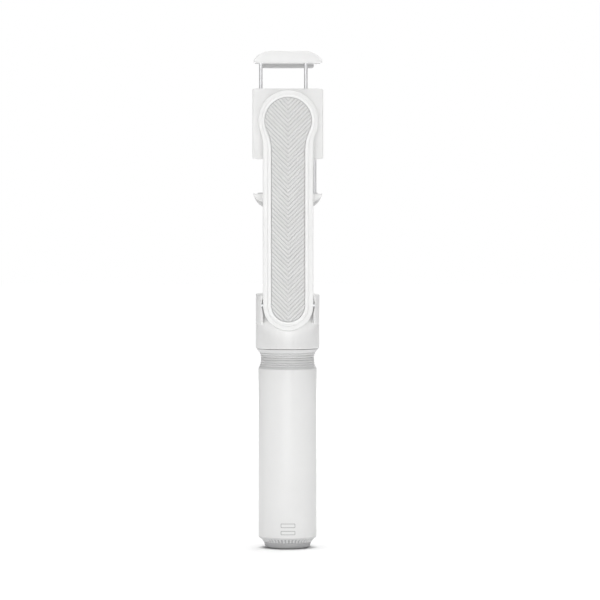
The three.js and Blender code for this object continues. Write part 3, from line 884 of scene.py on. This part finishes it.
def chevron_panel():
    """The arm's panel: a slab with V-shaped ribs that point down, trimmed to its outline."""
    reach = 14
    columns = [i * 0.5 for i in range(-2 * reach, 2 * reach + 1)]
    back = INSERT_HIGH.y - 0.1
    step = CHEVRON_PITCH / CHEVRON_STEPS
    first = PIN.z - INSERT_HALF - reach - 1
    count = int((ARM_TOP + INSERT_DISC_R + 1 - first) / step)
    rings = []
    for i in range(count):
        y = CHEVRON_TOP + chevron_depth(i / CHEVRON_STEPS)
        z = first + i * step
        face = [(x, y, z + abs(x)) for x in columns]
        rings.append(face + [(x, back, z + abs(x)) for x in reversed(columns)])
    panel = make("chevron_panel", loft(rings))
    outline = arm_outline(ARM_HALF - INSERT_HALF + 0.1)
    keep(panel, prism_xz(outline, INSERT_LOW.y - 1, INSERT_HIGH.y + 1))
    return show(panel, CHEVRON, "arm", ["arm_insert"], 50)


# ---------------- holder

GUIDE_DEPTH = 2.45
SPRING_ROOM = {"upper": 36.45, "lower": 39.45}


def channel(end, where):
    """A rod's guide hole and the wider spring bore behind it, as a cutter."""
    x = node_middle(f"{end}_rod_{where}").x
    y = (HOLDER_LOW.y + HOLDER_HIGH.y) / 2
    mouth, turn = (HOLDER_HIGH.z, 1) if end == "upper" else (HOLDER_LOW.z, -1)
    shoulder = mouth - turn * GUIDE_DEPTH
    floor = mouth - turn * SPRING_ROOM[end]
    guide_r, spring_r = 1.2, 2.0
    profile = [
        (0, mouth + turn), (guide_r, mouth + turn), (guide_r, shoulder),
        (spring_r, shoulder), (spring_r, floor), (0, floor),
    ]
    return turned(profile, 32, "Z", (x, y, 0))


def holder():
    """The plate that turns on the arm, bored for the clamp's rods and for the shaft's screw."""
    centre = (0, (HOLDER_LOW.z + HOLDER_HIGH.z) / 2)
    half_z = (HOLDER_HIGH.z - HOLDER_LOW.z) / 2
    front, back = HOLDER_LOW.y, HOLDER_HIGH.y
    outline = rounded_rectangle(HOLDER_HIGH.x, half_z, 1.1, centre)
    rings = [
        [(x, y, z) for x, z in inset(outline, depth)]
        for depth, y in holder_section(front, back)
    ]
    body = make("holder_plate", loft(rings))
    cutters = [channel(end, where) for end in ("upper", "lower") for where in ("left", "right")]
    shank_r, head_r, seat = 1.2, 2.6, back - 1.6
    screw = turned([(0, front - 1), (shank_r, front - 1), (shank_r, seat), (head_r, seat),
                    (head_r, back + 1), (0, back + 1)], 40, "Y", (0, 0, ARM_TOP))
    cut(body, *cutters, screw)
    return show(body, WHITE, "holder", ["holder_frame"], 28)


def holder_section(front, back):
    """Depth inwards and place along Y, from the middle of the front face round to the back's."""
    return [
        (0.9, front), (0.5, front + 0.06), (0.2, front + 0.24), (0.04, front + 0.55),
        (0.0, front + 0.9), (0.0, back - 1.75), (0.13, back - 1.65), (0.0, back - 1.55),
        (0.0, back - 0.7), (0.12, back - 0.3), (0.42, back - 0.06), (0.9, back),
    ]


def holder_pad():
    """The rubber face that the phone's back rests on, with a row of fine ribs across it."""
    centre_z = (PAD_LOW.z + PAD_HIGH.z) / 2
    half = PAD_HIGH.x
    outline = rounded_rectangle(half, half, 1.2, (0, centre_z))
    pad = make("phone_pad", soft_prism_xz(outline, PAD_LOW.y - 0.1, PAD_HIGH.y - 0.15, 0.2, 3))
    count, pitch, rib_half = 15, 2.3, 0.35
    ribs = []
    for i in range(count):
        z = centre_z + (i - (count - 1) / 2) * pitch
        bar = rounded_rectangle(half - 1.6, rib_half, 0.3, (0, z), 4)
        ribs.append(soft_prism_xz(bar, PAD_HIGH.y - 0.4, PAD_HIGH.y, 0.12, 2))
    bars = make("phone_pad_ribs", merged(*ribs))
    show(pad, PAD_RUBBER, "holder", ["holder_pad"])
    return show(bars, PAD_RUBBER, "holder", ["holder_pad"])


# ---------------- clamp

def bezier(a, b, c, steps):
    """Points on a quadratic curve from a to c, pulled towards b."""
    points = []
    for i in range(steps + 1):
        t = i / steps
        points.append(tuple((1 - t) ** 2 * p + 2 * t * (1 - t) * q + t * t * r
                            for p, q, r in zip(a, b, c)))
    return points


def jaw_outline(grip, side, skirt, crown, half, control, reach):
    """A jaw's loaf-shaped outline, counter-clockwise, as (x, z), with curved shoulders."""
    def z(rise):
        return grip + side * rise

    inset_x, rise = control
    shoulder = bezier(
        (half - 0.2, z(1.5 - skirt)),
        (half - inset_x, z(rise)),
        (half - reach, z(crown)),
        14,
    )
    right = [(half, z(-skirt))] + shoulder
    left = [(-x, height) for x, height in reversed(right)]
    outline = right + left
    return outline if side > 0 else outline[::-1]


def jaw(end, skirt, crown_step, shape):
    """One jaw: a white front layer, a deeper body that shows past it and is painted a darker grey
    as painted shade, and the lip over the phone.
    """
    low, high = mm_box(f"{end}_jaw")
    pad_low, pad_high = mm_box(f"{end}_jaw_pad")
    side = 1 if end == "upper" else -1
    grip = pad_low.z if side > 0 else pad_high.z
    crown = high.z - grip if side > 0 else grip - low.z
    half = high.x
    seat = PAD_HIGH.y
    joint_y = low.y + 2.6
    back_inset, back_control, back_reach, front_control, front_reach = shape
    front_crown = crown - crown_step
    back_line = jaw_outline(grip, side, skirt - 0.5, crown, half - back_inset,
                            back_control, back_reach)
    front_line = jaw_outline(grip, side, skirt - 0.5, front_crown, half,
                             front_control, front_reach)
    neck_line = jaw_outline(grip, side, skirt - 1.0, front_crown - 0.7, half - 1.3,
                            front_control, front_reach)
    body = make(f"{end}_jaw_body", soft_prism_xz(back_line, joint_y, high.y, 0.6, 4))
    front = soft_prism_xz(front_line, low.y, joint_y - 0.35, 0.5, 4)
    neck = prism_xz(neck_line, joint_y - 0.6, joint_y + 0.8)
    foot = rounded_rectangle(17, 1.2, 0.5, (0, grip - side * (skirt - 1.2)), 4)
    add(body, neck, soft_prism_xz(foot, joint_y, seat, 0.25, 3))
    face = make(f"{end}_jaw_face", front)
    show(face, WHITE, f"{end}_clamp", [f"{end}_jaw"], 30)
    mouth_y = seat + 9.3
    roof = grip + side * 1.0
    bottom = grip - side * (skirt + 3)
    slot = box_shape((-30, seat, min(bottom, roof)), (30, mouth_y, max(bottom, roof)))
    cut(body, slot)
    lip_low, lip_high = sorted((roof, grip - side * 2.4))
    lip = rounded_rectangle(15, (lip_high - lip_low) / 2, 1.2, (0, (lip_high + lip_low) / 2), 5)
    add(body, soft_prism_xz(lip, mouth_y, high.y, 0.5, 3))
    # the deeper body gets the darker grey as painted shade
    return show(body, JAW_BODY_SHADE, f"{end}_clamp", [f"{end}_jaw"], 30)


def grip_pad(end):
    """A soft strip with cross ribs where the phone's edge sits."""
    low, high = mm_box(f"{end}_jaw_pad")
    side = 1 if end == "upper" else -1
    face, root = (low.z, high.z) if side > 0 else (high.z, low.z)
    middle_y = (low.y + high.y) / 2
    half_y = (high.y - low.y) / 2
    count, waves, relief, corner = 120, 17, 0.32, 0.35
    rings = []
    for i in range(count + 1):
        x = low.x + (high.x - low.x) * i / count
        wave = 0.5 - 0.5 * math.cos(TAU * (x - low.x) / (high.x - low.x) * waves)
        top = face + side * relief * (1 - wave)
        shoulder = top + side * 0.25
        ends = corner if i in (0, count) else 0.0
        rings.append([
            (x, middle_y - half_y + ends, root),
            (x, middle_y - half_y + ends, shoulder),
            (x, middle_y - half_y + corner + ends, top),
            (x, middle_y + half_y - corner - ends, top),
            (x, middle_y + half_y - ends, shoulder),
            (x, middle_y + half_y - ends, root),
        ])
    pad = make(f"{end}_pad_skin", loft(rings))
    return show(pad, PAD_RUBBER, f"{end}_clamp", [f"{end}_jaw_pad"], 45)


def hinge_pin():
    """The steel pin of the fold hinge, chamfered at both ends."""
    reach, radius, chamfer = 15.4, PIN_HIGH.z - PIN.z, 0.2
    profile = [
        (0, -reach), (radius - chamfer, -reach), (radius, chamfer - reach),
        (radius, reach - chamfer), (radius - chamfer, reach), (0, reach),
    ]
    pin = make("fold_pin", turned(profile, 40, "X", tuple(PIN)))
    return show(pin, STEEL, "fork", ["hinge_pin"], 40)


LOWER_ROD_SHORT = 4.8


def rod(end, where):
    """A ground steel rod with a small chamfer at its tips and a flange for the spring."""
    node = f"{end}_rod_{where}"
    low, high = mm_box(node)
    centre = ((low.x + high.x) / 2, (low.y + high.y) / 2, 0)
    radius, flange, chamfer = 0.95, 1.65, 0.3
    if end == "upper":
        base, tip, turn = low.z, high.z, 1
    else:
        base, tip, turn = high.z, low.z + LOWER_ROD_SHORT, -1
    profile = [
        (0, base), (flange - 0.15, base), (flange, base + turn * 0.15),
        (flange, base + turn * 1.0), (radius, base + turn * 1.0),
        (radius, tip - turn * chamfer), (radius - chamfer, tip), (0, tip),
    ]
    made = make(f"{node}_skin", turned(profile, 40, "Z", centre))
    return show(made, ROD_STEEL, f"{end}_clamp", [node], 40)


def clamp():
    jaw("upper", 0.4, 0.0, (1.0, (3.2, 6.9), 10.0, (3.6, 6.9), 10.5))
    jaw("lower", 3.8, 3.0, (0.4, (1.8, 4.4), 10.0, (2.6, 1.3), 9.0))
    for end in ("upper", "lower"):
        grip_pad(end)
        for where in ("left", "right"):
            rod(end, where)


# ---------------- controls

def control_panel():
    """The curved grey panel on the back of the handle, with a hole for every control."""
    low, high = PANEL_LOW, PANEL_HIGH
    outer, inner = high.y, 14.5
    inside, outside = 8, 20
    section = rounded([(inner, low.z), (outer, low.z), (outer, high.z), (inner, high.z)])
    skin = make("panel_skin", lathe(section, 240))
    tall = (high.z - low.z) / 2
    outline = rounded_rectangle(high.x, tall, 2.9, (0, node_middle("control_panel").z))
    keep(skin, prism_xz(outline, inside, outside))
    holes = {"joystick_cap": 5.4, "record_button": 3.4, "mode_button": 2.7, "status_light": 0.9}
    bevel_y, face_y, bevel = 15.6, 17.2, 0.5
    cutters = []
    for node, radius in holes.items():
        profile = [(0, inside), (radius, inside), (radius, bevel_y), (radius + bevel, face_y),
                   (0, face_y)]
        cutters.append(turned(profile, 48, "Y", (0, 0, node_middle(node).z)))
    zoom_outline = rounded_rectangle(2.9, 6.0, 1.2, (0, node_middle("zoom_rocker").z))
    cutters.append(prism_xz(zoom_outline, inside, outside))
    cut(skin, *cutters)
    return show(skin, PANEL_GREY, "handle", ["control_panel"], 30)


def dished(inner, top, dish, steps):
    """Profile points from a rim inwards to the axis, down into a shallow dish."""
    points = []
    for i in range(1, steps + 1):
        t = i / steps
        points.append((inner * (1 - t), top - dish * math.sin(math.pi / 2 * t)))
    return points


def key(node, body, material, slot, dish):
    """A round key with a dished top and a soft rim."""
    low, high = mm_box(node)
    flange, top = high.x, high.y
    flange_y = low.y + 0.7
    radius, rim = flange - 0.7, 0.45
    profile = [(0, low.y), (flange, low.y), (flange, flange_y), (radius, flange_y),
               (radius, top - 0.5)]
    profile += arc((radius - rim, top - rim), rim, 0, math.pi / 2, 5)
    profile += dished(radius - 0.6, top, dish, 8)
    made = make(f"{node}_skin", turned(profile, 64, "Y", (0, 0, node_middle(node).z)))
    return show(made, material, body, [node], 40)


def joystick_cap():
    """A dished rubber cap whose rim is knurled."""
    low, high = mm_box("joystick_cap")
    z = node_middle("joystick_cap").z
    top, rim = high.y, high.x
    stem, under, edge, knurls, knurl_depth = 1.2, 15.9, 0.8, 24, 0.22
    profile = [(0, low.y), (stem, low.y), (stem, under), (3.5, under), (3.8, 16.1),
               (rim, 16.45), (rim, 16.9)]
    profile += arc((rim - edge, top - edge), edge, 0, math.pi / 2, 6)
    profile += dished(rim - 1.0, top, 0.55, 10)
    points, faces = turned(profile, 144, "Y")
    shaped = []
    for x, y, height in points:
        radius = math.hypot(x, height)
        wave = 0.5 + 0.5 * math.cos(knurls * math.atan2(height, x))
        window = smooth_step(rim - 0.9, rim - 0.2, radius)
        scale = 1 - knurl_depth * wave * window / max(radius, 1)
        shaped.append((x * scale, y, height * scale + z))
    cap = make("joystick_skin", (shaped, faces))
    return show(cap, STICK_RUBBER, "joystick", ["joystick_cap"], 50)


def zoom_rocker():
    """A rocker with a raised bar at each end, one of them crossed, and a waist between."""
    low, high = mm_box("zoom_rocker")
    z = node_middle("zoom_rocker").z
    half = high.x
    tall = (high.z - low.z) / 2
    count, chamfer = 48, 0.4
    rings = []
    for i in range(count + 1):
        t = -1 + 2 * i / count
        edge = 0.5 * max(0.0, (abs(t) - 0.9) / 0.1) ** 2
        top = high.y - 0.35 - 0.5 * math.exp(-((t / 0.16) ** 2)) - edge
        section = [
            (-half, low.y), (-half, top - chamfer), (-half + chamfer, top),
            (half - chamfer, top), (half, top - chamfer), (half, low.y),
        ]
        rings.append([(x, y, z + t * tall) for x, y in section])
    rocker = make("zoom_skin", loft(rings))
    from_middle, long, short = 3.1, 0.95, 0.2
    marks = []
    for side in (-1, 1):
        bar = rounded_rectangle(long, short, 0.18, (0, z + side * from_middle), 3)
        marks.append(soft_prism_xz(bar, high.y - 0.6, high.y - 0.12, 0.08, 2))
    upright = rounded_rectangle(short, long, 0.18, (0, z + from_middle), 3)
    marks.append(soft_prism_xz(upright, high.y - 0.6, high.y - 0.13, 0.08, 2))
    show(rocker, GREY, "zoom_rocker", ["zoom_rocker"], 40)
    signs = make("zoom_signs", merged(*marks))
    return show(signs, WHITE, "zoom_rocker")


def charging_port():
    """A rounded metal socket with its contact tongue."""
    low, high = mm_box("charging_port")
    z = node_middle("charging_port").z
    outer = rounded_rectangle(high.x, 1.6, 1.55, (0, z), 8)
    inner = inset(outer, 0.32)
    floor = 12.0
    rings = [(outer, low.y), (outer, high.y - 0.1), (inset(outer, 0.1), high.y),
             (inset(outer, 0.22), high.y), (inner, high.y - 0.1), (inner, floor)]
    shell = make("port_shell", loft([[(x, y, h) for x, h in line] for line, y in rings]))
    tongue = rounded_rectangle(3.2, 0.35, 0.2, (0, z), 3)
    blade = make("port_tongue", soft_prism_xz(tongue, floor - 0.3, high.y - 0.7, 0.12, 2))
    show(shell, STEEL, "handle", ["charging_port"], 40)
    return show(blade, BLACK, "handle", ["charging_port"])


def status_light():
    """A small domed window."""
    low, high = mm_box("status_light")
    radius, rim = high.x, high.y - 0.35
    profile = [(0, low.y), (radius, low.y), (radius, rim)]
    profile += [(radius * math.cos(a), rim + 0.3 * math.sin(a)) for a in (0.4, 0.8, 1.2)]
    profile.append((0, high.y - 0.04))
    light = make("light_window", turned(profile, 32, "Y", (0, 0, node_middle("status_light").z)))
    return show(light, LENS, "handle", ["status_light"], 50)


# ---------------- studio

def aimed(name, data, place, target):
    """A camera or a lamp at a place, turned towards a target; both are in metres."""
    obj = bpy.data.objects.new(name, data)
    obj.location = place
    obj.rotation_euler = (Vector(target) - Vector(place)).to_track_quat("-Z", "Y").to_euler()
    bpy.context.scene.collection.objects.link(obj)
    return obj


def add_camera():
    data = bpy.data.cameras.new("camera")
    data.lens = 211.3
    data.sensor_width = 36
    data.clip_start = 0.01
    camera = aimed("camera", data, (-0.032, -2.0, 0.2), (0.0071, 0, 0.1408))
    bpy.context.scene.camera = camera


def area_light(name, place, size, power):
    data = bpy.data.lights.new(name, "AREA")
    data.shape = "DISK"
    data.size = size
    data.energy = power
    aimed(name, data, place, (0, 0, 0.15))


def studio():
    """A white room: a dim world that is seen as pure white, a wide floor and three lamps."""
    world = bpy.data.worlds.new("studio")
    world.use_nodes = True
    tree = world.node_tree
    lit = tree.nodes["Background"]
    seen = tree.nodes.new("ShaderNodeBackground")
    for background, strength in ((lit, 0.15), (seen, 1.0)):
        background.inputs["Color"].default_value = (1, 1, 1, 1)
        background.inputs["Strength"].default_value = strength
    path = tree.nodes.new("ShaderNodeLightPath")
    mix = tree.nodes.new("ShaderNodeMixShader")
    tree.links.new(path.outputs["Is Camera Ray"], mix.inputs["Fac"])
    tree.links.new(lit.outputs[0], mix.inputs[1])
    tree.links.new(seen.outputs[0], mix.inputs[2])
    tree.links.new(mix.outputs[0], tree.nodes["World Output"].inputs["Surface"])
    bpy.context.scene.world = world
    bpy.context.scene.view_settings.view_transform = "Standard"

    radius, thick = 6000, 20
    floor = make("floor", turned([(0, 0), (radius, 0), (radius, -thick), (0, -thick)], 64))
    shader = Shader("floor_white")
    shader.paint(
        color=shader.blend(shader.noise(300.0), (0.93, 0.93, 0.93), (0.96, 0.96, 0.96)),
        roughness=shader.ranged(shader.noise(40.0), 0.75, 0.85),
    )
    floor.data.materials.append(shader.material)

    sun = bpy.data.lights.new("overhead", "SUN")
    sun.energy = 3.1
    sun.angle = math.radians(60)
    lamp = bpy.data.objects.new("overhead", sun)
    bpy.context.scene.collection.objects.link(lamp)
    area_light("key", (-0.1, -2.3, 0.2), 1.2, 20)
    area_light("back", (0.5, 1.6, 0.7), 0.9, 5)


# ---------------- everything

def build():
    add_camera()
    dress_cad_nodes()
    handle_shell()
    curved_frame("front_mark_upper", 13.7, 1.2)
    curved_frame("front_mark_lower", 9.6, 1.15)
    base_cap()
    base_ring()
    lower_collar()
    upper_collar()
    stick()
    fork()
    hinge_pin()
    arm_rim()
    motor_housing()
    chevron_panel()
    holder()
    holder_pad()
    clamp()
    control_panel()
    key("record_button", "record_button", RED, "record_key", 0.3)
    key("mode_button", "mode_button", GREY, "grey_trim", 0.2)
    key("power_button", "power_button", GREY, "grey_trim", 0.2)
    joystick_cap()
    zoom_rocker()
    charging_port()
    status_light()
    studio()


build()
